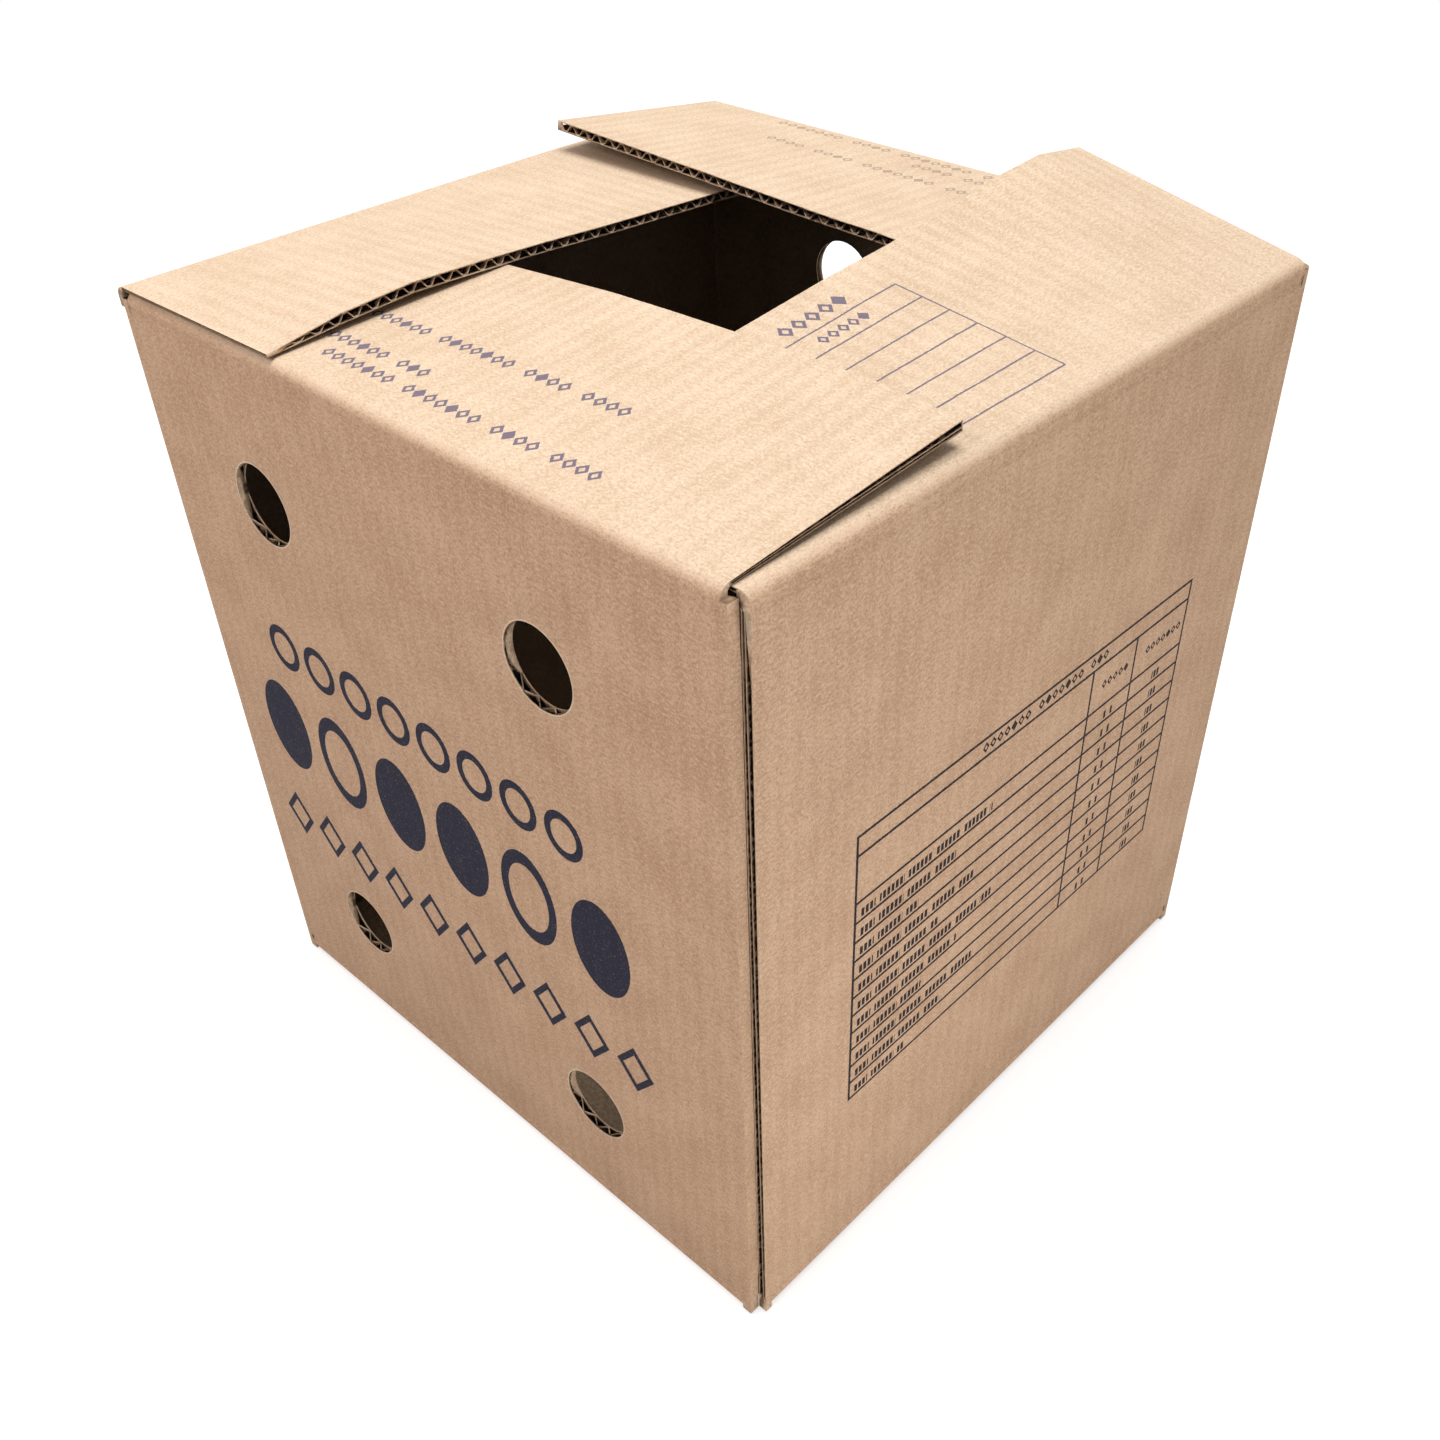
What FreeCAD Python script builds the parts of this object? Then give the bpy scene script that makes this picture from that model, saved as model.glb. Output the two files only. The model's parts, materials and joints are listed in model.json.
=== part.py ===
# Corrugated carton for egg trays, folded from one board blank and closed by four interlocked top flaps.
# Millimetres, +Z up. X runs along the front wall, Y from front to back, and the origin is the base centre.
import FreeCAD, Part
import math
import os

Vector = FreeCAD.Vector

# Outside of the folded carton
length = 310.0
width = 307.0
height = 338.0

# Board: two liners with a fluted medium between them
board = 3.8
liner = 0.45
medium = 0.40
flute_pitch = 7.75
flute_flat = 0.12
flute_depth = 14.0

# Folds: inside radius of the crease, and the score pressed into the outside of the wall beside it
crease_radius = 0.7
score_depth = 0.55
score_radius = 5.5
score_drop = 7.7

# Slots between neighbouring flaps, and how far the corners stand below the folds
slot_inset = 6.5
front_left_inset = 0.6
corner_drop = 4.0
shoulder_depth = 8.0

# Glued joint at the front right corner
joint_setback = 4.8
joint_groove = 7.0
joint_taper = 24.0
tab_width = 35.0
tab_end_gap = 14.0
tab_bevel = 9.0

# Top flaps: depth from the wall, crushed ends and the play between one flap and the next
flap_depths = {"left": 98.5, "front": 102.0, "right": 104.0, "back": 101.0}
crushed_board = 1.3
crush_length = 100.0
edge_crush_length = 34.0
flap_play = 0.3
end_groove_depth = 6.0
medium_drift = 0.12
fold_drop_length = 110.0

# Height of each free edge above the folds: at its loose corner, past that corner, where it crosses
# the next flap and at its middle; then its drop below the flap that covers its other end
edge_lifts = {
    "left": {"corner": 2.0, "shoulder": 7.9, "crossing": 6.6, "middle": 3.6, "tuck": 4.1},
    "front": {"corner": 8.8, "shoulder": 11.0, "crossing": 9.4, "middle": 7.2, "tuck": 0.4},
    "right": {"corner": 19.5, "shoulder": 24.2, "crossing": 15.2, "middle": 10.6, "tuck": 0.6},
    "back": {"corner": 12.2, "shoulder": 10.8, "crossing": 9.0, "middle": 6.7, "tuck": 6.2},
}
shoulder_distance = 46.0
section_spacing = 28.0

# Bottom: two inner flaps glued on two outer ones, each pair meeting at a seam
seam_gap = 1.0
bottom_inset = 8.0
inner_fold_level = 0.8
bottom_shoulder = 10.0
post_foot = 1.0

# Vent holes, the same on the front and on the back as a half turn would put them
vent_diameter = 32.4
vent_spacing_x = 152.0
vent_spacing_z = 213.5
vent_centre_x = -8.4
vent_centre_z = 167.7

bend_radius = board + crease_radius
half_length = length / 2
half_width = width / 2

# Each wall: its corner at the loose end of its top flap, the way along the fold and the way inwards
walls = {
    "left": {"corner": Vector(-half_length, -half_width, 0), "along": Vector(0, 1, 0),
             "inward": Vector(1, 0, 0), "span": width, "next": "front", "cover": "back"},
    "front": {"corner": Vector(half_length, -half_width, 0), "along": Vector(-1, 0, 0),
              "inward": Vector(0, 1, 0), "span": length, "next": "right", "cover": "left"},
    "right": {"corner": Vector(half_length, half_width, 0), "along": Vector(0, -1, 0),
              "inward": Vector(-1, 0, 0), "span": width, "next": "back", "cover": "front"},
    "back": {"corner": Vector(-half_length, half_width, 0), "along": Vector(1, 0, 0),
             "inward": Vector(0, -1, 0), "span": length, "next": "left", "cover": "right"},
}
loose_insets = {"left": front_left_inset, "front": slot_inset, "right": slot_inset, "back": slot_inset}
tucked_insets = {"left": slot_inset, "front": slot_inset, "right": joint_setback, "back": slot_inset}


def place(side, along, inward, up):
    """Point at a distance along a wall's fold, inwards from its outside and up from the floor."""
    wall = walls[side]
    return wall["corner"] + wall["along"] * along + wall["inward"] * inward + Vector(0, 0, up)


def wall_box(side, start, end, near, far, low, high):
    """Box over part of a wall, given along the fold, inwards and upwards."""
    first = place(side, start, near, low)
    last = place(side, end, far, high)
    corner = Vector(min(first.x, last.x), min(first.y, last.y), low)
    return Part.makeBox(abs(last.x - first.x), abs(last.y - first.y), high - low, corner)


def ease(share):
    """Smooth step from 0 to 1."""
    share = min(max(share, 0.0), 1.0)
    return share * share * (3 - 2 * share)


def curve_through(stations, at):
    """Height on a smooth curve through (distance, height) stations."""
    for index in range(len(stations) - 1):
        (x0, y0), (x1, y1) = stations[index], stations[index + 1]
        if at <= x1 or index == len(stations) - 2:
            before = stations[max(index - 1, 0)]
            after = stations[min(index + 2, len(stations) - 1)]
            span = x1 - x0
            slope0 = (y1 - before[1]) / (x1 - before[0]) * span
            slope1 = (after[1] - y0) / (after[0] - x0) * span
            t = (at - x0) / span
            return ((2 * t ** 3 - 3 * t ** 2 + 1) * y0 + (t ** 3 - 2 * t ** 2 + t) * slope0
                    + (3 * t ** 2 - 2 * t ** 3) * y1 + (t ** 3 - t ** 2) * slope1)


def edge_lift(side, at):
    """Height of a top flap's free edge above the folds, at a distance along its fold."""
    wall = walls[side]
    lifts = edge_lifts[side]
    cover = wall["cover"]
    tuck = edge_lifts[cover]["crossing"] - board - lifts["tuck"]
    stations = [
        (loose_insets[side], lifts["corner"]),
        (shoulder_distance, lifts["shoulder"]),
        (flap_depths[wall["next"]], lifts["crossing"]),
        (wall["span"] / 2, lifts["middle"]),
        (wall["span"] - flap_depths[cover], tuck),
        (wall["span"] - tucked_insets[side], -board - flap_play),
    ]
    return curve_through(stations, at)


def fold_drop(side, at):
    """How far a fold sinks at its covered end, to let the crushed end of the covering flap lie on it."""
    from_end = walls[side]["span"] - at
    return -(crushed_board + flap_play) * ease(1 - from_end / fold_drop_length)


def fold_thickness(at):
    """Board thickness beside the fold, crushed at the loose end."""
    return crushed_board + (board - crushed_board) * min(at / crush_length, 1.0)


def edge_thickness(side, at):
    """Board thickness at the free edge; only the left flap is flattened there, on the front fold."""
    if side != "left":
        return board
    return crushed_board + (board - crushed_board) * ease(at / edge_crush_length)


def flap_tilt(side, at):
    """Slope of a top flap from its fold to its free edge."""
    rise = edge_lift(side, at) - fold_drop(side, at)
    return math.asin(rise / (flap_depths[side] - bend_radius))


def flap_point(side, at, share, below):
    """Point in a top flap, at a share of the way from its bend to its free edge and below its top face."""
    tilt = flap_tilt(side, at)
    run = (flap_depths[side] - bend_radius) * share
    radius = bend_radius - below
    inward = bend_radius - radius * math.sin(tilt) + run * math.cos(tilt)
    up = fold_drop(side, at) - bend_radius + radius * math.cos(tilt) + run * math.sin(tilt)
    return place(side, at, inward, height + up)


def sheet_point(side, at, share, depth):
    """Point in a top flap, with its depth as a share of the board's thickness there."""
    thickness = fold_thickness(at) * (1 - share) + edge_thickness(side, at) * share
    return flap_point(side, at, share, depth * thickness)


def flap_section(side, at):
    """Closed outline of a top flap with its bend and the top of its wall, at one place along the fold."""
    inner = bend_radius - fold_thickness(at)
    centre_up = height + fold_drop(side, at) - bend_radius
    middle_angle = (math.pi / 2 + flap_tilt(side, at)) / 2

    def middle_spot(radius):
        return place(side, at, bend_radius - radius * math.sin(middle_angle),
                     centre_up + radius * math.cos(middle_angle))

    outer_foot = place(side, at, 0, height - shoulder_depth)
    outer_start = place(side, at, 0, centre_up)
    outer_end = flap_point(side, at, 0, 0)
    edge_top = flap_point(side, at, 1, 0)
    edge_bottom = flap_point(side, at, 1, edge_thickness(side, at))
    inner_end = flap_point(side, at, 0, fold_thickness(at))
    inner_start = place(side, at, board, centre_up)
    inner_foot = place(side, at, board, height - shoulder_depth)
    return Part.Wire([
        Part.makeLine(outer_foot, outer_start),
        Part.Arc(outer_start, middle_spot(bend_radius), outer_end).toShape(),
        Part.makeLine(outer_end, edge_top),
        Part.makeLine(edge_top, edge_bottom),
        Part.makeLine(edge_bottom, inner_end),
        Part.Arc(inner_end, middle_spot((inner + crease_radius) / 2), inner_start).toShape(),
        Part.makeLine(inner_start, inner_foot),
        Part.makeLine(inner_foot, outer_foot),
    ])


def flap_ends(side):
    """Where a top flap begins and ends along its fold."""
    return loose_insets[side], walls[side]["span"] - tucked_insets[side]


def flap_stations(side):
    """Places along the fold where a top flap's sections stand."""
    start, end = flap_ends(side)
    steps = max(int((end - start) / section_spacing), 2)
    return [start + (end - start) * index / steps for index in range(steps + 1)]


def lofted_point(side, at, share, depth):
    """Point in a top flap between two sections, where it runs straight from one to the next."""
    stations = flap_stations(side)
    spacing = stations[1] - stations[0]
    index = min(max(int((at - stations[0]) / spacing), 0), len(stations) - 2)
    first = sheet_point(side, stations[index], share, depth)
    last = sheet_point(side, stations[index + 1], share, depth)
    return first + (last - first) * ((at - stations[index]) / spacing)


def flute_widths(rise):
    """Half widths of a space beside the medium, where it opens on a liner and at the medium's crest."""
    run = flute_pitch * (0.5 - 2 * flute_flat)
    lean = run * medium / 2 / rise
    clearance = medium / 2 * math.hypot(run, rise) / rise
    crest = flute_flat * flute_pitch + lean - clearance
    return crest + run, crest


def flute_pocket(side, at, opens_up):
    """Space between a liner and the medium, seen on a free edge as one side of a flute."""
    thickness = edge_thickness(side, at)
    rise = thickness - 2 * liner - medium
    if rise < medium:
        return None
    mouth, crest = flute_widths(rise)
    mouth_depth = liner if opens_up else thickness - liner
    crest_depth = liner + rise if opens_up else thickness - liner - rise
    profile = [(-mouth, mouth_depth), (-crest, crest_depth), (crest, crest_depth), (mouth, mouth_depth)]
    middle = lofted_point(side, at, 1, 0.5)
    outwards = (middle - lofted_point(side, at, 0, 0.5)).normalize()
    points = []
    for offset, below in profile:
        spot = lofted_point(side, at + offset, 1, below / thickness)
        points.append(spot + outwards * (medium - (spot - middle).dot(outwards)))
    return Part.Face(Part.makePolygon(points + points[:1])).extrude(outwards * -(flute_depth + medium))


def flute_pockets(side):
    """All the flute openings along a top flap's free edge."""
    start, end = flap_ends(side)
    count = int((end - start) / (flute_pitch / 2)) - 1
    first = (start + end - (count - 1) * flute_pitch / 2) / 2
    pockets = [flute_pocket(side, first + index * flute_pitch / 2, index % 2 == 0) for index in range(count)]
    return [pocket for pocket in pockets if pocket]


def end_grooves(side, at, way):
    """Spaces above and below the medium along a flap's side end, which is cut along the flutes."""
    margin = liner / flap_depths[side]
    skin = liner / board
    half_medium = medium / board / 2
    fold_middle, edge_middle = 0.5 - medium_drift, 0.5 + medium_drift
    back = walls[side]["along"] * (-way * medium)
    grooves = []
    for outer, side_of_medium in ((skin, -half_medium), (1 - skin, half_medium)):
        corners = [(margin, outer), (1 - margin, outer),
                   (1 - margin, edge_middle + side_of_medium), (margin, fold_middle + side_of_medium)]
        points = [sheet_point(side, at, share, depth) + back for share, depth in corners]
        face = Part.Face(Part.makePolygon(points + points[:1]))
        grooves.append(face.extrude(walls[side]["along"] * way * (end_groove_depth + medium)))
    return grooves


def top_flap(side):
    """Top flap with its bend, lofted through sections along the fold, with its open flutes."""
    start, end = flap_ends(side)
    flap = Part.makeLoft([flap_section(side, station) for station in flap_stations(side)], True, True)
    cuts = flute_pockets(side) + end_grooves(side, start, 1) + end_grooves(side, end, -1)
    return flap.cut(cuts).removeSplitter()


def bottom_flap(side, level, fold_level, depth):
    """Bottom flap with its bend, straight along the fold."""
    def spot(inward, up):
        return place(side, bottom_inset, inward, up)

    slant = math.sin(math.pi / 4)
    centre = fold_level + bend_radius
    rise_end = bottom_inset if level > fold_level else bend_radius
    outline = Part.Wire([
        Part.makeLine(spot(0, bottom_shoulder), spot(0, centre)),
        Part.Arc(spot(0, centre), spot(bend_radius * (1 - slant), centre - bend_radius * slant),
                 spot(bend_radius, fold_level)).toShape(),
        Part.makePolygon([spot(bend_radius, fold_level), spot(rise_end + crease_radius, level),
                          spot(depth, level), spot(depth, level + board),
                          spot(rise_end, level + board), spot(board, bottom_shoulder - crease_radius),
                          spot(board, bottom_shoulder), spot(0, bottom_shoulder)]),
    ])
    run = walls[side]["span"] - 2 * bottom_inset
    return Part.Face(outline).extrude(walls[side]["along"] * run)


def upright_edges(box):
    """The four edges of a box that stand upright."""
    return [edge for edge in box.Edges if edge.BoundBox.ZLength > bend_radius]


def wall_ring():
    """The four walls in plan, with rounded corner folds and the raw edge beside the glued corner."""
    def outline(inset, radius):
        x, y = half_length - inset, half_width - inset
        box = Part.makeBox(2 * x, 2 * y, height - corner_drop - post_foot, Vector(-x, -y, post_foot))
        return box.makeFillet(radius, upright_edges(box))

    ring = outline(0, bend_radius).cut(outline(board, crease_radius))
    joint = Part.makeBox(bend_radius + board, joint_setback + board, height,
                         Vector(half_length - board, -half_width - board, 0))
    bead = Part.makeBox(bend_radius, bend_radius, height - corner_drop - post_foot,
                        Vector(half_length - board - bend_radius, -half_width, post_foot))
    corner = [edge for edge in upright_edges(bead)
              if edge.BoundBox.XMax > half_length - board - crease_radius
              and edge.BoundBox.YMax < -half_width + crease_radius]
    bead = bead.makeFillet(bend_radius - crease_radius, corner)
    return ring.cut(joint).fuse(bead).removeSplitter()


def glue_tab():
    """Tab of the front wall, glued inside the right wall, with bevelled ends."""
    outer = half_length - board
    start = -half_width + board
    low, high = bottom_shoulder + tab_end_gap, height - shoulder_depth - tab_end_gap
    end = start + tab_width
    points = [(start, low), (end, low + tab_bevel), (end, high - tab_bevel), (start, high)]
    face = Part.Face(Part.makePolygon([Vector(outer - board, y, z) for y, z in points + points[:1]]))
    return face.extrude(Vector(board, 0, 0))


def vent_holes():
    """Round holes through the front wall and, half a turn on, through the back wall."""
    holes = []
    for turn in (1, -1):
        for side_x in (-1, 1):
            for side_z in (-1, 1):
                x = turn * (vent_centre_x + side_x * vent_spacing_x / 2)
                z = vent_centre_z + side_z * vent_spacing_z / 2
                start = Vector(x, -turn * (half_width + board), z)
                holes.append(Part.makeCylinder(vent_diameter / 2, 3 * board, start, Vector(0, turn, 0)))
    return holes


def score_lines():
    """Shallow grooves pressed along the outside of the walls, beside the top and bottom folds."""
    grooves = []
    for side, wall in walls.items():
        for level in (score_drop, height - score_drop):
            start = place(side, slot_inset, score_depth - score_radius, level)
            run = wall["span"] - 2 * slot_inset
            grooves.append(Part.makeCylinder(score_radius, run, start, wall["along"]))
    return grooves


def raw_edge_grooves():
    """Spaces on both sides of the medium along the raw upright edge of the right wall."""
    start = -half_width + joint_setback - medium
    low, high = bottom_shoulder, height - shoulder_depth
    outer, inner = half_length - liner, half_length - board + liner
    top = half_length - board * (0.5 + medium_drift)
    foot = half_length - board * (0.5 - medium_drift)
    half = medium / 2
    outlines = [
        [(outer, low), (outer, high - joint_taper), (top + half, high), (foot + half, low)],
        [(inner, low), (inner, high), (top - half, high), (foot - half, low)],
    ]
    grooves = []
    for outline in outlines:
        points = [Vector(x, start, z) for x, z in outline]
        face = Part.Face(Part.makePolygon(points + points[:1]))
        grooves.append(face.extrude(Vector(0, joint_groove + medium, 0)))
    return grooves


def carton():
    """The whole folded and glued blank."""
    body = wall_ring()
    for side, wall in walls.items():
        start, end = flap_ends(side)
        body = body.cut([
            wall_box(side, start, end, -board, board, height - shoulder_depth, height),
            wall_box(side, bottom_inset, wall["span"] - bottom_inset, -board, board, 0, bottom_shoulder),
        ])
    pieces = [top_flap(side) for side in walls]
    for side in ("front", "back"):
        pieces.append(bottom_flap(side, 0, 0, half_width - seam_gap / 2))
    for side in ("left", "right"):
        pieces.append(bottom_flap(side, board, inner_fold_level, half_length - seam_gap / 2))
    body = body.fuse(pieces + [glue_tab()]).removeSplitter()
    return body.cut(vent_holes() + score_lines() + raw_edge_grooves())


if __name__ == "__main__":
    os.makedirs("parts", exist_ok=True)
    shape = carton()
    print("solids", len(shape.Solids), "valid", shape.isValid(), "volume", round(shape.Volume))
    shape.exportStep("parts/carton.step")
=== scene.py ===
import bpy
import json
import math
from mathutils import Matrix, Vector

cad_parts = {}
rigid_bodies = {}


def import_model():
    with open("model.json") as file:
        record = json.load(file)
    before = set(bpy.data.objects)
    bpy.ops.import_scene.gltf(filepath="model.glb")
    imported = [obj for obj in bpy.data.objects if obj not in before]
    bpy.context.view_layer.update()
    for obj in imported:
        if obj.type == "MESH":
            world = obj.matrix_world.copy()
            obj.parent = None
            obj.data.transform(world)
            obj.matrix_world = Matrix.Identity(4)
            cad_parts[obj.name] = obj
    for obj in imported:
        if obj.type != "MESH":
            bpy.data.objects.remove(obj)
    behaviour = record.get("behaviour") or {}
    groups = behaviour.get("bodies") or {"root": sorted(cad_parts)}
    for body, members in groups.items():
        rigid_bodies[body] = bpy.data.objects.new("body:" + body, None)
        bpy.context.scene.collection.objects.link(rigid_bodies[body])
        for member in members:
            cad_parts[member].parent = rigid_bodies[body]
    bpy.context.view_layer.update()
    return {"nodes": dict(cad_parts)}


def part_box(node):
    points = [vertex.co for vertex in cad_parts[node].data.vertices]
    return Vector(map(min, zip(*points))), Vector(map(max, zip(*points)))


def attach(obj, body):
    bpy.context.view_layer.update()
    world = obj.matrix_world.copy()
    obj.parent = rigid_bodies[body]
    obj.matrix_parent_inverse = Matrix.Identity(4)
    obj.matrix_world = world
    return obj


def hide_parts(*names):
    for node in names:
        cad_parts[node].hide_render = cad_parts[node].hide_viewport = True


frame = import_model()


# The blank: one sheet of brown C-flute board, slotted and scored flat, then folded into four walls,
# glued along an upright tab at the front right corner and shut by four top flaps that hold each other.
# The liners keep their own faces, so that print and flute lines can follow the sheet round its folds.
board_thickness = 0.0038
liner_thickness = 0.00045
medium_thickness = 0.00040
flute_pitch = 0.00775
carton_height = 0.338
corner_zone = 0.009
corner_drop = 0.004
fold_angle = math.radians(42)
merge_distance = 0.00001

carton_low, carton_high = (Vector(corner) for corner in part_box("carton"))
half_length = carton_high.x
half_width = carton_high.y

bpy.ops.object.select_all(action="DESELECT")
cad_carton = frame["nodes"]["carton"]
cad_carton.select_set(True)
bpy.context.view_layer.objects.active = cad_carton
bpy.ops.object.duplicate()
sheet = bpy.context.object
sheet.name = "board_sheet"
bpy.ops.object.parent_clear(type="CLEAR_KEEP_TRANSFORM")
bpy.ops.object.mode_set(mode="EDIT")
bpy.ops.mesh.select_all(action="SELECT")
bpy.ops.mesh.remove_doubles(threshold=merge_distance)
bpy.ops.mesh.select_all(action="DESELECT")
bpy.ops.object.mode_set(mode="OBJECT")

# Open flutes in the rims of the vents: three-sided spaces on both sides of the medium, which runs
# upright in the walls. They open on the outer and the inner liner by turns.
vent_radius = 0.0162
vent_centre = Vector((-0.0084, 0.1677))
vent_spacing = Vector((0.152, 0.2135))
flute_rise = board_thickness - 2 * liner_thickness - medium_thickness
flute_half_width = 0.46 * flute_pitch
flute_reach = 0.009
triangle_half_side = math.sin(math.radians(60))
triangle_height = 1.5
triangle_base = 0.5

vents = []
for way in (1, -1):
    for column in (-0.5, 0.5):
        for row in (-0.5, 0.5):
            x = way * (vent_centre.x + column * vent_spacing.x)
            vents.append((way, x, vent_centre.y + row * vent_spacing.y))

bpy.ops.object.select_all(action="DESELECT")
flutes = []
half_pitch = flute_pitch / 2
for way, vent_x, vent_z in vents:
    vent_across = way * vent_x + half_length
    first = math.ceil((vent_across - vent_radius) / half_pitch)
    last = math.floor((vent_across + vent_radius) / half_pitch)
    for step in range(first, last + 1):
        across = step * half_pitch
        nearest = max(abs(across - vent_across) - flute_half_width, 0)
        half_run = math.sqrt(vent_radius ** 2 - nearest ** 2) + flute_reach
        opens_outwards = step % 2 == 0
        lean = 1 if opens_outwards else -1
        depth = liner_thickness if opens_outwards else board_thickness - liner_thickness
        centre_depth = depth + lean * flute_rise * triangle_base / triangle_height
        spot = (way * (across - half_length), -way * (half_width - centre_depth), vent_z)
        turn = 0 if lean * way > 0 else math.pi
        size = (flute_half_width / triangle_half_side, flute_rise / triangle_height, 1)
        bpy.ops.mesh.primitive_cylinder_add(vertices=3, radius=1, depth=2 * half_run, location=spot,
                                            rotation=(0, 0, turn), scale=size)
        flutes.append(bpy.context.object)
for flute in flutes:
    flute.select_set(True)
bpy.ops.object.join()
flute_spaces = bpy.context.object
cut = sheet.modifiers.new("open_flutes", "BOOLEAN")
cut.operation = "DIFFERENCE"
cut.solver = "EXACT"
cut.object = flute_spaces
bpy.ops.object.select_all(action="DESELECT")
sheet.select_set(True)
bpy.context.view_layer.objects.active = sheet
bpy.ops.object.modifier_apply(modifier=cut.name)
bpy.data.objects.remove(flute_spaces)

# Each wall seen from outside: the way out of it, the way along it from left to right, its distance
# from the middle of the carton, and half its width.
panels = [
    {"out": Vector((-1, 0, 0)), "along": Vector((0, -1, 0)), "reach": half_length, "half": half_width},
    {"out": Vector((0, -1, 0)), "along": Vector((1, 0, 0)), "reach": half_width, "half": half_length},
    {"out": Vector((1, 0, 0)), "along": Vector((0, 1, 0)), "reach": half_length, "half": half_width},
    {"out": Vector((0, 1, 0)), "along": Vector((-1, 0, 0)), "reach": half_width, "half": half_length},
]
outer_liner, inner_liner, cut_edge, flute_space = range(4)
mid_height = carton_height / 2
fold_level = carton_height - corner_drop - 0.0005
free_edge_start = 0.0925
bottom_zone = board_thickness * 2.5
raw_edge = -half_width + 0.0048
raw_groove_depth = 0.0076
raw_groove_margin = 0.0004
same_plane = 0.0001
skin = 0.0003
# How far a face looks in a direction: 1 when it looks straight along it.
squarely, mostly, hardly = 0.99, 0.7, 0.3


def in_corner(face):
    """Whether a face lies in one of the four upright corners."""
    near_end = abs(face.center.x) > half_length - corner_zone
    near_side = abs(face.center.y) > half_width - corner_zone
    return near_end and near_side and face.center.z < fold_level


def liner_faces(panel, inside):
    """Numbers of the faces of one liner of a panel: its wall and the flaps folded from it."""
    way = -1 if inside else 1
    level = panel["reach"] - (board_thickness if inside else 0)
    for face in sheet.data.polygons:
        face.hide = in_corner(face)
        level_with = abs(face.center.dot(panel["out"]) - level) < same_plane
        flat = level_with and face.normal.dot(panel["out"]) * way > squarely
        face.select = flat and not face.hide and abs(face.center.dot(panel["along"])) < panel["half"]
    bpy.ops.object.mode_set(mode="EDIT")
    bpy.ops.mesh.faces_select_linked_flat(sharpness=fold_angle)
    bpy.ops.object.mode_set(mode="OBJECT")
    return [face.index for face in sheet.data.polygons if face.select and not face.hide]


def flap_ends(panel, faces):
    """Where the side ends of a panel's top flap lie along it."""
    places = []
    for index in faces:
        for number in sheet.data.polygons[index].vertices:
            spot = sheet.data.vertices[number].co
            if spot.z > mid_height and panel["reach"] - spot.dot(panel["out"]) > corner_zone:
                places.append(spot.dot(panel["along"]))
    return min(places), max(places)


def on_cut(face, panel):
    """Whether a face lies on an edge where the blank was cut, and not inside a flute."""
    inwards = panel["reach"] - face.center.dot(panel["out"])
    along = face.center.dot(panel["along"])
    end = min(abs(along - place) for place in panel["ends"])
    if abs(face.normal.dot(panel["along"])) > mostly and end < skin:
        return True
    if inwards > free_edge_start and -face.normal.dot(panel["out"]) > mostly:
        return True
    if abs(face.center.y - raw_edge) < skin and -face.normal.y > mostly:
        return True
    for way, vent_x, vent_z in vents:
        span = math.hypot(face.center.x - vent_x, face.center.z - vent_z)
        if face.center.y * way < 0 and span < vent_radius + skin and abs(face.normal.y) < hardly:
            return True
    return abs(face.normal.z) > mostly and in_corner(face) or face.center.z < bottom_zone


face_side = [None] * len(sheet.data.polygons)
face_slot = [cut_edge] * len(sheet.data.polygons)
bpy.context.tool_settings.mesh_select_mode = (False, False, True)
for number, panel in enumerate(panels):
    for slot_number, inside in ((outer_liner, False), (inner_liner, True)):
        faces = liner_faces(panel, inside)
        if not inside:
            panel["ends"] = flap_ends(panel, faces)
        for index in faces:
            face_side[index] = number
            face_slot[index] = slot_number

# The faces of edges and flutes take the panel of the liner that they hang on.
corner_side = {}
waiting = list(sheet.data.polygons)
while waiting:
    left_over = []
    for face in waiting:
        known = [corner_side[corner] for corner in face.vertices if corner in corner_side]
        if face_side[face.index] is None and known:
            face_side[face.index] = known[0]
            if not on_cut(face, panels[known[0]]):
                face_slot[face.index] = flute_space
        if face_side[face.index] is None:
            left_over.append(face)
        else:
            for corner in face.vertices:
                corner_side.setdefault(corner, face_side[face.index])
    waiting = left_over

# The faces of a rounded corner take the wall that they look towards, apart from those in the grooves
# of the raw upright edge.
for face in sheet.data.polygons:
    face.hide = False
    face.select = False
    to_end = face.normal.x * math.copysign(1, face.center.x)
    to_side = face.normal.y * math.copysign(1, face.center.y)
    outwards = to_end + to_side
    depth = half_length - face.center.x
    between_liners = raw_groove_margin < depth < board_thickness - raw_groove_margin
    in_groove = between_liners and raw_edge < face.center.y < raw_edge + raw_groove_depth
    rounded = in_corner(face) and abs(outwards) > 0.5
    if rounded and face_slot[face.index] == flute_space and not in_groove:
        way = math.copysign(1, outwards)
        looks = [face.normal.dot(panel["out"]) * way for panel in panels]
        face_side[face.index] = looks.index(max(looks))
        face_slot[face.index] = outer_liner if outwards > 0 else inner_liner

# Sheet coordinates in metres: across the flutes, with one whole number per panel, and up the wall
# and on over its flap.
layout = sheet.data.uv_layers.new(name="sheet")
for face in sheet.data.polygons:
    panel = panels[face_side[face.index]]
    for corner in face.loop_indices:
        spot = sheet.data.vertices[sheet.data.loops[corner].vertex_index].co
        across = spot.dot(panel["along"]) + panel["half"]
        inwards = panel["reach"] - spot.dot(panel["out"])
        rise = min(spot.z, carton_height) + inwards if spot.z > mid_height else spot.z - inwards
        layout.data[corner].uv = (face_side[face.index] + across, rise)

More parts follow.
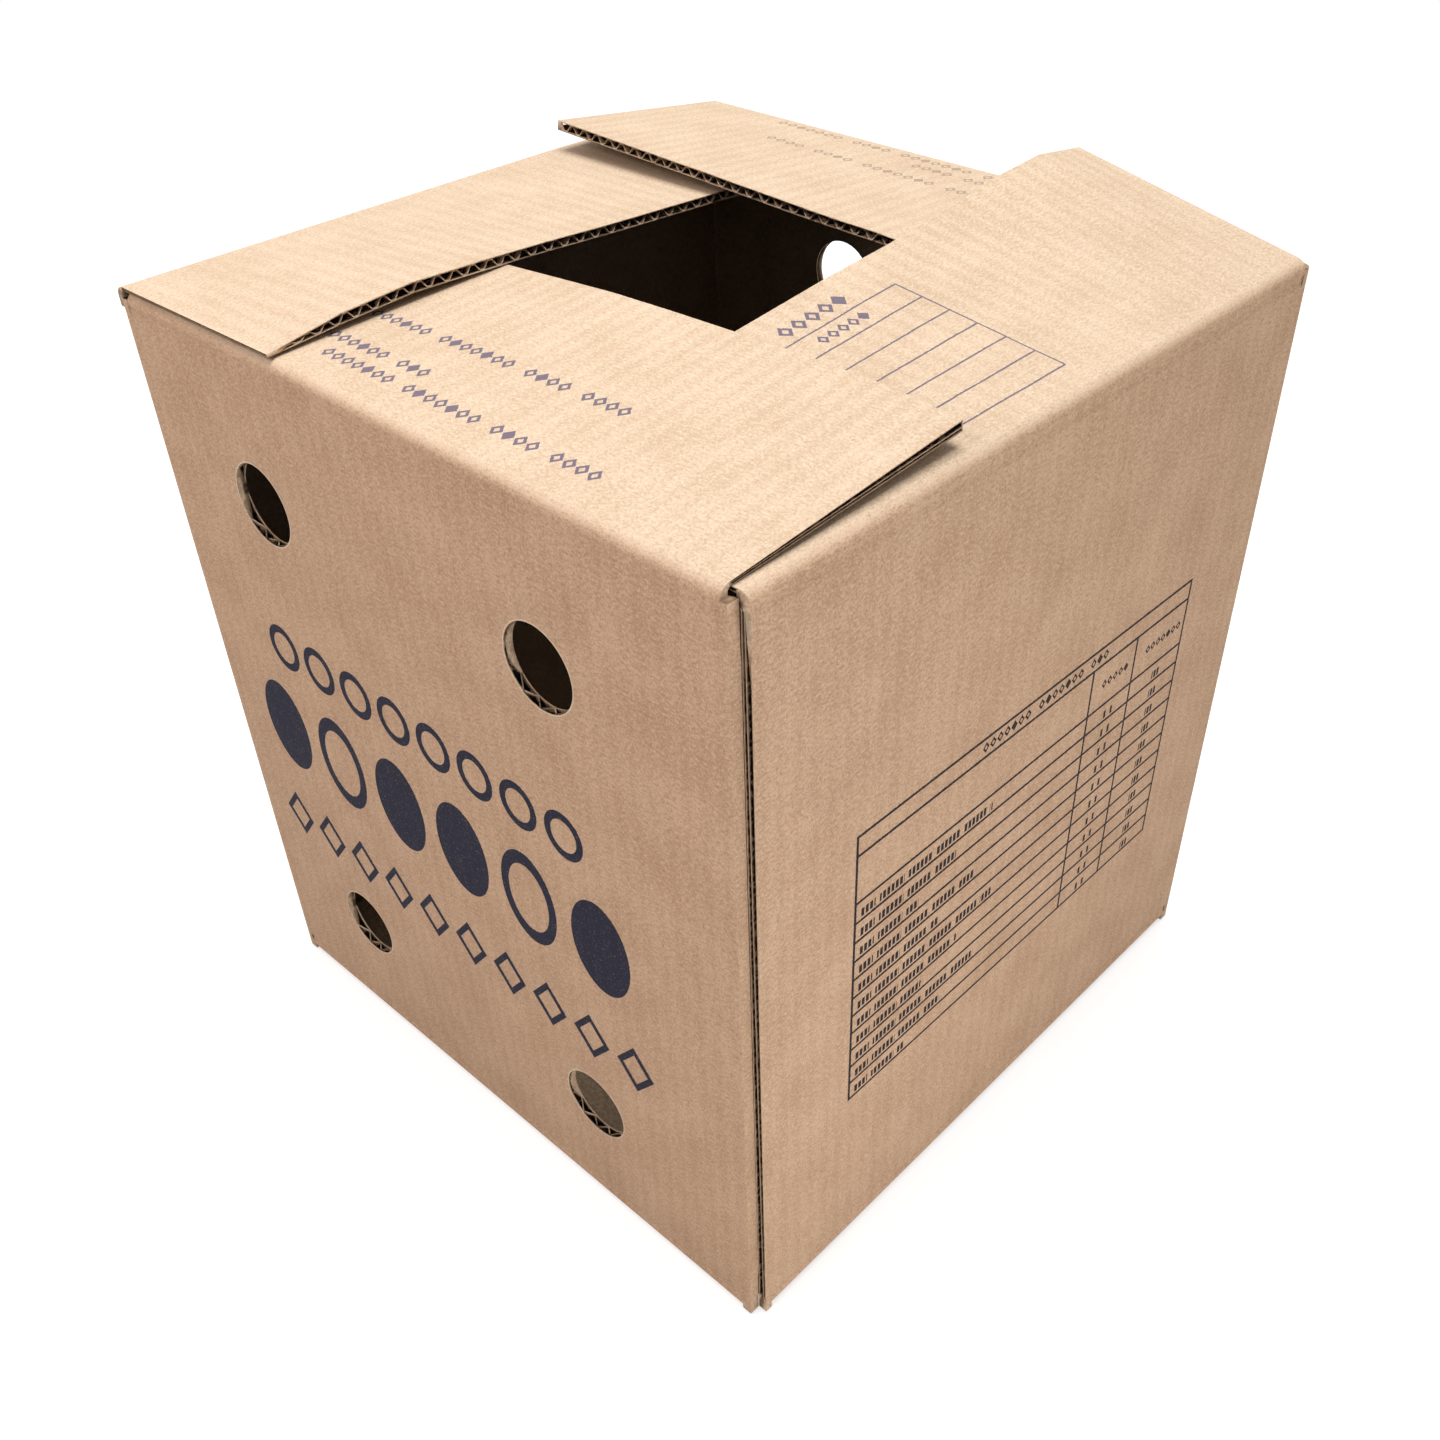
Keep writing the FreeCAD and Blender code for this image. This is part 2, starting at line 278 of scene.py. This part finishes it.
# Shade of the spaces beside the medium: 0 at their mouths and 1 at their far ends.
mouths = set()
for face in sheet.data.polygons:
    if face_slot[face.index] != flute_space:
        mouths.update(face.vertices)
shade = sheet.data.attributes.new("flute_depth", "FLOAT", "CORNER")
for face in sheet.data.polygons:
    for corner in face.loop_indices:
        inner = sheet.data.loops[corner].vertex_index not in mouths
        shade.data[corner].value = 1.0 if inner else 0.0

bpy.ops.object.shade_smooth_by_angle(angle=fold_angle)
weighted = sheet.modifiers.new("weighted", "WEIGHTED_NORMAL")
weighted.keep_sharp = True
bpy.ops.object.modifier_apply(modifier=weighted.name)


class Amount:
    """A number that varies over a surface. Arithmetic and comparisons on it add Math nodes."""

    def __init__(self, nodes, socket):
        self.nodes = nodes
        self.socket = socket

    def maths(self, operation, *values):
        node = self.nodes.add("ShaderNodeMath", {"operation": operation})
        for place, value in enumerate(values):
            self.nodes.feed(node.inputs[place], value)
        return Amount(self.nodes, node.outputs[0])

    def __add__(self, other):
        return self.maths("ADD", self, other)

    def __sub__(self, other):
        return self.maths("SUBTRACT", self, other)

    def __mul__(self, other):
        return self.maths("MULTIPLY", self, other)

    def __truediv__(self, other):
        return self.maths("DIVIDE", self, other)

    def __rsub__(self, other):
        return self.maths("SUBTRACT", other, self)

    def __gt__(self, other):
        return self.maths("GREATER_THAN", self, other)

    def __lt__(self, other):
        return self.maths("LESS_THAN", self, other)

    __radd__ = __add__
    __rmul__ = __mul__

    def sine(self):
        return self.maths("SINE", self)

    def fraction(self):
        return self.maths("FRACT", self)

    def floor(self):
        return self.maths("FLOOR", self)

    def size(self):
        return self.maths("ABSOLUTE", self)

    def at_most(self, limit):
        return self.maths("MINIMUM", self, limit)

    def at_least(self, limit):
        return self.maths("MAXIMUM", self, limit)


class Finish:
    """A material under construction: its nodes are added and linked here."""

    def __init__(self, name):
        self.material = bpy.data.materials.new(name)
        self.material.use_nodes = True
        self.tree = self.material.node_tree
        self.surface = self.tree.nodes["Principled BSDF"]

    def feed(self, socket, value):
        if isinstance(value, Amount):
            value = value.socket
        if isinstance(value, bpy.types.NodeSocket):
            self.tree.links.new(value, socket)
        else:
            socket.default_value = value

    def add(self, kind, settings=None, **inputs):
        node = self.tree.nodes.new(kind)
        for key, value in (settings or {}).items():
            setattr(node, key, value)
        for key, value in inputs.items():
            self.feed(node.inputs[key.replace("_", " ")], value)
        return node

    def noise(self, vector, scale, detail, roughness):
        node = self.add("ShaderNodeTexNoise", None, Vector=vector, Scale=scale, Detail=detail,
                        Roughness=roughness)
        return Amount(self, node.outputs["Fac"])

    def blend(self, share, first, second):
        node = self.add("ShaderNodeMix", {"data_type": "RGBA"})
        self.feed(node.inputs[0], share)
        self.feed(node.inputs[6], first)
        self.feed(node.inputs[7], second)
        return node.outputs[2]

    def stretched(self, vector, stretch):
        node = self.add("ShaderNodeVectorMath", {"operation": "MULTIPLY"})
        self.feed(node.inputs[0], vector)
        self.feed(node.inputs[1], stretch)
        return node.outputs[0]


def between(value, low, high):
    """1 where the value lies between two limits."""
    return (value > low) * (value < high)


def cells(value, start, pitch, count):
    """Position inside repeated cells, from 0 to 1, and 1 wherever there is a cell."""
    return ((value - start) / pitch).fraction(), between(value, start, start + count * pitch)


def sheet_coordinates(finish):
    """Place across the flutes, after the panel's number, place up the sheet, and both as a vector."""
    spot = finish.add("ShaderNodeUVMap", {"uv_map": "sheet"}).outputs[0]
    parts = finish.add("ShaderNodeSeparateXYZ", None, Vector=spot)
    return Amount(finish, parts.outputs[0]), Amount(finish, parts.outputs[1]), spot


def pulp(finish, spot):
    """Cloudy pulp, short fibres, fine grain and scattered flecks, each about 0 on average."""
    cloud_scale, fibre_scale, grain_scale, fleck_scale = 38.0, 520.0, 1150.0, 610.0
    light_fleck, dark_fleck = 0.68, 0.31
    clouds = finish.noise(spot, cloud_scale, detail=5.0, roughness=0.62) - 0.5
    along_fibres = finish.stretched(spot, (1.0, 1.35, 1.0))
    fibres = finish.noise(along_fibres, fibre_scale, detail=3.0, roughness=0.8) - 0.5
    along_grain = finish.stretched(spot, (1.15, 1.0, 1.0))
    grain = finish.noise(along_grain, grain_scale, detail=2.0, roughness=0.85) - 0.5
    along_flecks = finish.stretched(spot, (1.0, 1.5, 1.0))
    flecks = finish.noise(along_flecks, fleck_scale, detail=0.0, roughness=0.5)
    return clouds, fibres, grain, (flecks > light_fleck) - (flecks < dark_fleck)


def bump(finish, height):
    """Height in metres made into relief."""
    node = finish.add("ShaderNodeBump", None, Height=height, Distance=1.0, Strength=1.0)
    finish.feed(finish.surface.inputs["Normal"], node.outputs[0])


# The print: shapes in two dark inks on the walls and two pale ones on the flaps. Sizes are in metres,
# x from the left edge of the panel and up from the floor over the fold.
navy_ink = (0.010, 0.010, 0.024, 1)
table_ink = (0.010, 0.006, 0.008, 1)
violet_ink = (0.14, 0.115, 0.16, 1)
brown_ink = (0.34, 0.255, 0.19, 1)
shuffle = 0.381


def marks(x, up, start, count, level, pitch):
    """A row of small solid and hollow lozenges with a gap here and there."""
    half_span, half_rise = 0.46, 0.56
    gaps, solids, hole = 0.13, 0.80, 0.45
    share, row = cells(x, start, pitch, count)
    kind = (((x - start) / pitch).floor() * shuffle).fraction()
    reach = (share - 0.5).size() / half_span + (up - level).size() / (half_rise * pitch)
    hollow = (kind < solids) * (reach < hole)
    return row * (kind > gaps) * (reach < 1.0) * (1 - hollow)


def shape_row(x, up, start, pitch, count, level, half_width, half_height):
    """Where a row of shapes lies, and the place in each of them, with 1 at its edges."""
    share, row = cells(x, start, pitch, count)
    return row, (share - 0.5) * (pitch / half_width), (up - level) / half_height


def front_wall_print(x, up):
    """A row of rings, a row of large solid and hollow ovals, and a row of lozenges."""
    ring_hole, oval_hole, lozenge_hole = 0.44, 0.52, 0.66
    row, ring_x, ring_y = shape_row(x, up, start=0.046, pitch=0.0238, count=8, level=0.206,
                                    half_width=0.0098, half_height=0.0105)
    rings = row * between(ring_x * ring_x + ring_y * ring_y, ring_hole, 1.0)

    oval_start, oval_pitch = 0.024, 0.0388
    row, oval_x, oval_y = shape_row(x, up, start=oval_start, pitch=oval_pitch, count=6, level=0.160,
                                    half_width=0.0152, half_height=0.0225)
    span = oval_x * oval_x + oval_y * oval_y
    oval = ((x - oval_start) / oval_pitch).floor()
    second_or_fifth = between(oval, 0.5, 1.5) + between(oval, 3.5, 4.5)
    ovals = row * (span < 1.0) * (1 - second_or_fifth * (span < oval_hole))

    row, lozenge_x, lozenge_y = shape_row(x, up, start=0.020, pitch=0.0242, count=10, level=0.1045,
                                          half_width=0.0100, half_height=0.0125)
    lozenges = row * between(lozenge_x.size() + lozenge_y.size(), lozenge_hole, 1.0)
    return rings + ovals + lozenges


def right_wall_print(x, up):
    """A ruled table with a title line, three columns and rows of small marks."""
    half_line = 0.00062
    row_pitch = 0.0093
    left, right, bottom, top = 0.0520, 0.2575, 0.0895, 0.2220
    head_rule, last_rule, last_row = 0.2134, 0.1924, 0.1915
    first_column, second_column = 0.1899, 0.2204

    place = (up - bottom) / row_pitch
    row = (place + 0.5).fraction() - 0.5
    rules = (row.size() < half_line / row_pitch) * between(up, bottom - half_line, last_rule)
    for level in (head_rule, top):
        rules = rules + ((up - level).size() < half_line)
    rules = rules * between(x, left, right)
    posts = ((x - left).size() < half_line) + ((x - right).size() < half_line)
    posts = posts * between(up, bottom - half_line, top + half_line)
    columns = ((x - first_column).size() < half_line) + ((x - second_column).size() < half_line)
    columns = columns * between(up, bottom, head_rule)

    label_start, shortest, longer_by = 0.0550, 0.030, 0.055
    stroke_pitch, stroke_share, word_pitch, gap_share = 0.0023, 0.70, 0.0157, 0.14
    strokes = ((x / stroke_pitch).fraction() < stroke_share) * ((x / word_pitch).fraction() > gap_share)
    rows = between(place.fraction(), 0.16, 0.56) * between(up, bottom, last_row)
    length = (place.floor() * shuffle).fraction() * longer_by + shortest
    labels = rows * between(x, label_start, label_start + length) * strokes
    figures = rows * (between(x, 0.2020, 0.2085) + between(x, 0.2365, 0.2430)) * strokes

    head_level, title_level = 0.2027, 0.2178
    heads = marks(x, up, start=0.1935, count=6, level=head_level, pitch=0.0038)
    heads = heads + marks(x, up, start=0.2245, count=8, level=head_level, pitch=0.0038)
    title = marks(x, up, start=0.1150, count=20, level=title_level, pitch=0.0042)
    return rules + posts + columns + labels + figures + heads + title


def rows_of_marks(x, up, rows):
    """Rows of small marks, each given by its start, its number of marks and its level over the fold."""
    pitch = 0.0054
    return sum(marks(x, up, start, count, carton_height + level, pitch) for start, count, level in rows)


def front_flap_print(x, up):
    """Three rows of small marks."""
    return rows_of_marks(x, up, ((0.082, 26, 0.0463), (0.085, 12, 0.0267), (0.1005, 26, 0.0172)))


def back_flap_print(x, up):
    """Three rows like those on the front flap."""
    return rows_of_marks(x, up, ((0.100, 26, 0.0355), (0.103, 13, 0.0195), (0.100, 29, 0.0100)))


def right_flap_print(x, up):
    """A ruled strip of six fields that lies across the flap, with a few marks at its last field."""
    strip_start, strip_end, field_pitch = 0.0142, 0.0838, 0.0116
    half_line, overshoot = 0.00036, 0.0005
    far_line, near_line = 0.0800, 0.1660
    inwards = up - carton_height
    field = ((inwards - strip_start) / field_pitch + 0.5).fraction() - 0.5
    lines = field.size() < half_line / field_pitch
    lines = lines * between(inwards, strip_start - overshoot, strip_end + 0.0004)
    lines = lines * (x < near_line) * (x > far_line)
    end = between(x, 0.1656, 0.1663) * between(inwards, strip_start, strip_end)
    last_field = between(x, 0.1098, 0.1105) * between(inwards, strip_end - field_pitch, strip_end)
    names = marks(x, up, start=0.1080, count=6, level=carton_height + 0.0905, pitch=0.0066)
    names = names + marks(x, up, start=0.1150, count=6, level=carton_height + 0.0782, pitch=0.0050)
    return lines + end + last_field + names


# The outer liner: brown kraft, with a lighter, paler copy on the flaps as painted light on their lit
# tops, a painted highlight along the folds, the flutes' washboard in its relief and as painted shade in
# its colour, and pale torn fibres round the vents.
kraft_dark = (0.415, 0.253, 0.152, 1)
kraft_light = (0.635, 0.430, 0.288, 1)
# Painted light: the flaps are the same kraft as the walls, given this lighter, paler copy for their lit
# tops.
painted_lit_flap_kraft_dark = (0.52, 0.375, 0.248, 1)
painted_lit_flap_kraft_light = (0.705, 0.555, 0.410, 1)
torn_kraft = (0.72, 0.58, 0.44, 1)
fold_half_width = 0.0045
fold_blend = 0.007
torn_rim = 0.0005
bare_specks = 0.16
pale_ink_cover = 0.95
brown_ink_cover = 0.85


def printed_kraft():
    """Outer liner with its print."""
    finish = Finish("printed_kraft")
    across, up, spot = sheet_coordinates(finish)
    clouds, fibres, grain, flecks = pulp(finish, spot)
    x = across.fraction()
    wave = (x * (2 * math.pi / flute_pitch) - math.pi / 2).sine()
    # Painted highlight: a lighter band along the folds, where the rounded bend catches the light.
    fold = (1 - (up - carton_height).size() / fold_half_width).at_least(0.0)
    rise = (up - carton_height).at_least(0.0)
    # Painted shade: the flutes' washboard stripes lighten and darken the colour, more so further out on
    # the flaps.
    painted_ripple_shade = wave * (rise * 0.8 + 0.06)
    share = clouds * 1.1 + fibres * 1.8 + grain * 2.8 + flecks * 0.34 + painted_ripple_shade + fold * 0.35 + 0.5
    # Painted light: the flaps take the lighter copy of the kraft.
    on_flap = ((up - carton_height) / fold_blend + 0.5).at_least(0.0).at_most(1.0)
    wall = finish.blend(share, kraft_dark, kraft_light)
    flap = finish.blend(share, painted_lit_flap_kraft_dark, painted_lit_flap_kraft_light)
    color = finish.blend(on_flap, wall, flap)

    panel = across.floor()
    front = between(panel, 0.5, 1.5)
    right = between(panel, 1.5, 2.5)
    back = panel > 2.5

    vent_x = (x - half_length - vent_centre.x).size() - vent_spacing.x / 2
    vent_z = (up - vent_centre.y).size() - vent_spacing.y / 2
    torn = vent_x * vent_x + vent_z * vent_z < (vent_radius + torn_rim) ** 2
    fuzz = (clouds * 2 + 0.7).at_most(1.0)
    color = finish.blend(torn * (front + back) * fuzz, color, torn_kraft)

    edge_play = fibres * 0.0005 + grain * 0.0004
    x, up = x + edge_play, up + edge_play
    cover = 1 - flecks.size() * (grain > 0.05) * bare_specks
    navy = (front_wall_print(x, up) * front).at_most(1.0)
    table = (right_wall_print(x, up) * right).at_most(1.0)
    violet = (front_flap_print(x, up) * front + right_flap_print(x, up) * right).at_most(1.0)
    brown = (back_flap_print(x, up) * back).at_most(1.0)
    color = finish.blend(navy * cover, color, navy_ink)
    color = finish.blend(table * cover, color, table_ink)
    color = finish.blend(violet * cover * pale_ink_cover, color, violet_ink)
    color = finish.blend(brown * cover * brown_ink_cover, color, brown_ink)
    finish.feed(finish.surface.inputs["Base Color"], color)
    finish.feed(finish.surface.inputs["Roughness"], 0.8 + fibres * 0.3)
    finish.surface.inputs["Specular IOR Level"].default_value = 0.2
    washboard = 0.00003 + rise * 0.0008
    bump(finish, wave * washboard + fibres * 0.00013 + grain * 0.00010 + clouds * 0.0004)
    return finish.material


# The unprinted faces: the inner liner, painted dark as the shade inside the carton, the cut edges,
# and the medium inside the open flutes.
painted_shade_inside_dark = (0.20, 0.140, 0.092, 1)
painted_shade_inside_light = (0.31, 0.230, 0.160, 1)
edge_dark = (0.36, 0.235, 0.145, 1)
edge_light = (0.68, 0.495, 0.335, 1)
flute_dark = (0.012, 0.007, 0.005, 1)


def plain_kraft(name, dark, light):
    """Unprinted liner or cut edge."""
    finish = Finish(name)
    spot = finish.add("ShaderNodeTexCoord").outputs["Object"]
    clouds, fibres, grain, flecks = pulp(finish, spot)
    share = clouds * 1.2 + fibres * 1.9 + grain * 1.4 + flecks * 0.3 + 0.5
    finish.feed(finish.surface.inputs["Base Color"], finish.blend(share, dark, light))
    finish.surface.inputs["Roughness"].default_value = 0.88
    bump(finish, fibres * 0.00014 + grain * 0.00010)
    return finish.material


def flute_shade():
    """Medium and liners inside an open flute: kraft at the mouth, and almost no light further in."""
    uneven_shade_scale, uneven_shade_below, steepest, gentlest = 420.0, 0.38, 60, 1.5
    finish = Finish("flute_shade")
    attribute = finish.add("ShaderNodeAttribute", {"attribute_name": "flute_depth"})
    depth = Amount(finish, attribute.outputs["Fac"])
    spot = finish.add("ShaderNodeTexCoord").outputs["Object"]
    # Painted shade: noise makes the shade reach unevenly into the flutes.
    uneven_shade = finish.noise(spot, uneven_shade_scale, detail=2.0, roughness=0.6)
    darkening = ((uneven_shade - uneven_shade_below) * steepest).at_least(gentlest)
    share = (depth * darkening).at_most(1.0)
    finish.feed(finish.surface.inputs["Base Color"], finish.blend(share, edge_dark, flute_dark))
    finish.surface.inputs["Roughness"].default_value = 0.95
    finish.surface.inputs["Specular IOR Level"].default_value = 0.1
    return finish.material


sheet.data.materials.clear()
sheet.data.materials.append(printed_kraft())
sheet.data.materials.append(plain_kraft("shaded_inner_kraft", painted_shade_inside_dark, painted_shade_inside_light))
sheet.data.materials.append(plain_kraft("cut_kraft", edge_dark, edge_light))
sheet.data.materials.append(flute_shade())
for face in sheet.data.polygons:
    face.material_index = face_slot[face.index]

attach(sheet, "root")
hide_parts("carton")


# The studio: a pale floor, three soft lamps and the camera at the photograph's viewing angle. Rays that
# show the background see floor and sky near white, and the light on the carton stays plain.
white = (1, 1, 1, 1)
floor_size = 3.2
floor_grey = (0.58, 0.58, 0.58, 1)
floor_glow = 0.60
sky_light = 0.42
background = 1.0


class Sky(Finish):
    """A world under construction, with the same ways to add and link nodes."""

    def __init__(self, name):
        self.world = bpy.data.worlds.new(name)
        self.world.use_nodes = True
        self.tree = self.world.node_tree
        self.surface = self.tree.nodes["Background"]


def shows_background(finish):
    """1 for rays from the camera, off a glossy surface or through glass, and 0 for the rest."""
    path = finish.add("ShaderNodeLightPath").outputs
    rays = Amount(finish, path["Is Camera Ray"])
    for name in ("Is Glossy Ray", "Is Transmission Ray"):
        rays = rays.at_least(path[name])
    return rays


bpy.ops.object.select_all(action="DESELECT")
bpy.ops.mesh.primitive_plane_add(size=floor_size, location=(0, 0, 0))
floor = bpy.context.object
floor.name = "studio_floor"
paper = Finish("studio_paper")
paper.surface.inputs["Base Color"].default_value = floor_grey
paper.surface.inputs["Roughness"].default_value = 1.0
paper.surface.inputs["Specular IOR Level"].default_value = 0.0
glow_strength = shows_background(paper) * floor_glow
glow = paper.add("ShaderNodeEmission", None, Color=white, Strength=glow_strength)
both = paper.add("ShaderNodeAddShader")
paper.feed(both.inputs[0], paper.surface.outputs[0])
paper.feed(both.inputs[1], glow.outputs[0])
paper.feed(paper.tree.nodes["Material Output"].inputs["Surface"], both.outputs[0])
floor.data.materials.append(paper.material)

sky = Sky("studio")
bpy.context.scene.world = sky.world
sky.surface.inputs["Color"].default_value = white
sky.feed(sky.surface.inputs["Strength"], shows_background(sky) * (background - sky_light) + sky_light)


def lamp(name, spot, aim, size, watts, color=(1, 1, 1)):
    """Square soft lamp that points at a spot."""
    bpy.ops.object.light_add(type="AREA", location=spot)
    light = bpy.context.object
    light.name = name
    light.data.shape = "SQUARE"
    light.data.size = size
    light.data.energy = watts
    light.data.color = color
    light.rotation_euler = (Vector(aim) - Vector(spot)).to_track_quat("-Z", "Y").to_euler()
    light.visible_camera = False


lamp("overhead_lamp", spot=(-0.1, 0.25, 2.4), aim=(0, 0, 0.3), size=1.4, watts=47)
lamp("front_lamp", spot=(-0.15, -0.95, 1.0), aim=(0, -0.15, 0.34), size=0.5, watts=4.4,
     color=(1.0, 0.89, 0.86))
lamp("side_lamp", spot=(0.7, -0.27, 0.10), aim=(0.155, -0.1, 0.16), size=0.3, watts=1.9)

camera_spot = (0.37804, -0.38047, 0.54311)
heading = math.radians(43.31)
pitch = math.radians(90 - 39.74)
roll = math.radians(-0.89)
camera_data = bpy.data.cameras.new("photo_camera")
camera_data.sensor_width = 36.0
camera_data.lens = 37.44
camera_data.shift_x = -0.0322
camera_data.shift_y = 0.0408
camera_data.clip_start = 0.01
camera = bpy.data.objects.new("photo_camera", camera_data)
bpy.context.collection.objects.link(camera)
turn = Matrix.Rotation(heading, 4, "Z") @ Matrix.Rotation(pitch, 4, "X") @ Matrix.Rotation(roll, 4, "Z")
camera.matrix_world = Matrix.Translation(camera_spot) @ turn
bpy.context.scene.camera = camera

bpy.context.scene.view_settings.view_transform = "Standard"
